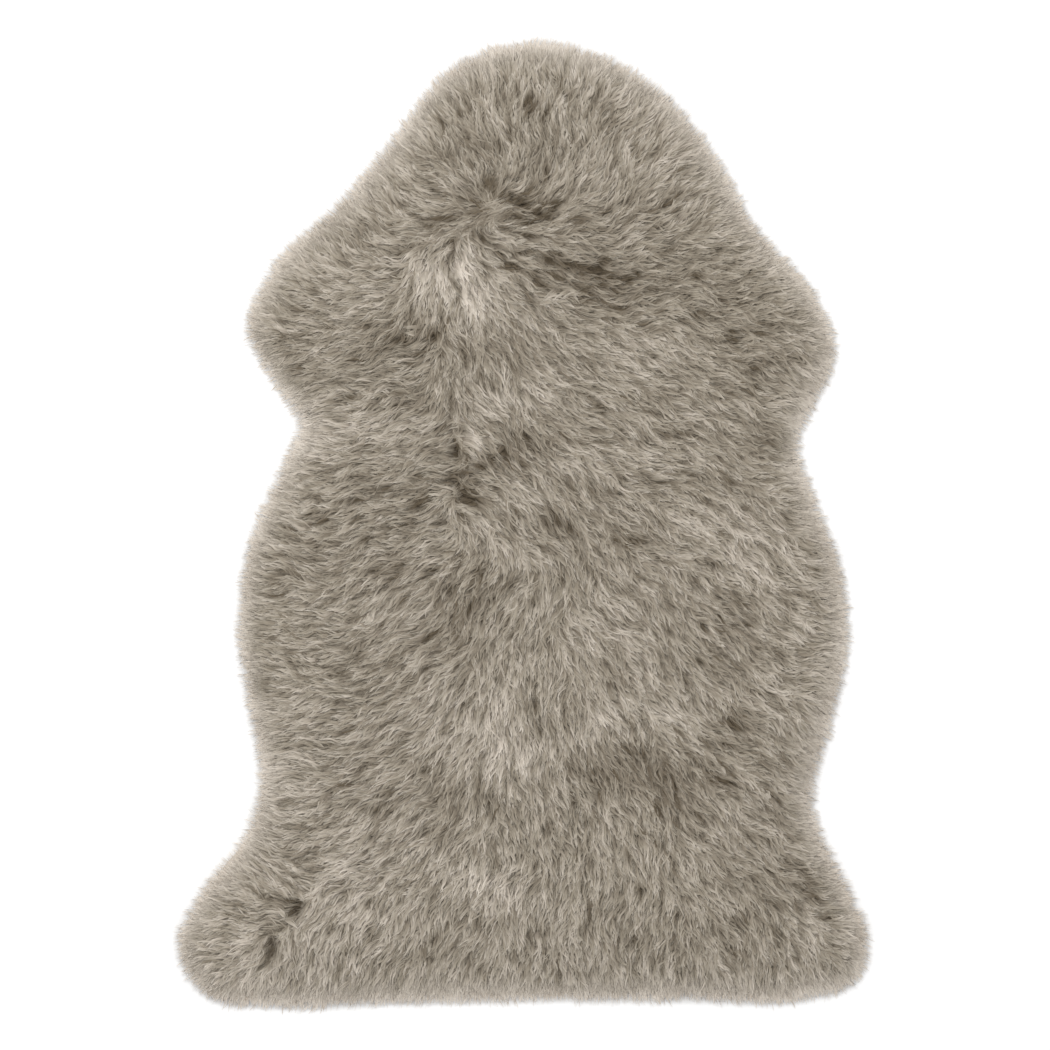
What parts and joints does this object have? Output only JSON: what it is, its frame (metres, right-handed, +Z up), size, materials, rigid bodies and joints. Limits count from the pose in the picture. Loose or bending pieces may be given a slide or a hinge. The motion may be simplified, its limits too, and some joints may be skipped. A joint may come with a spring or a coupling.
{
  "type": "sheepskin rug",
  "caption": "Single sheepskin rug lying flat: a tanned hide with its greige wool on, cut to the skin's natural outline, lumpy pile rounded over at the rim into loose locks.",
  "frame": {"origin": "on the floor under the middle of the rug's outline", "axes": "+Y towards the neck, along the backbone; +X to the right seen from above; +Z up"},
  "size_m": [0.6884, 0.9528, 0.0545],
  "materials": {
    "wool": "matt greige wool, paler at the tips, with dark gaps between its locks"
  },
  "bodies": {
    "root": {"sheepskin_pelt": "wool"}
  },
  "joints": []
}
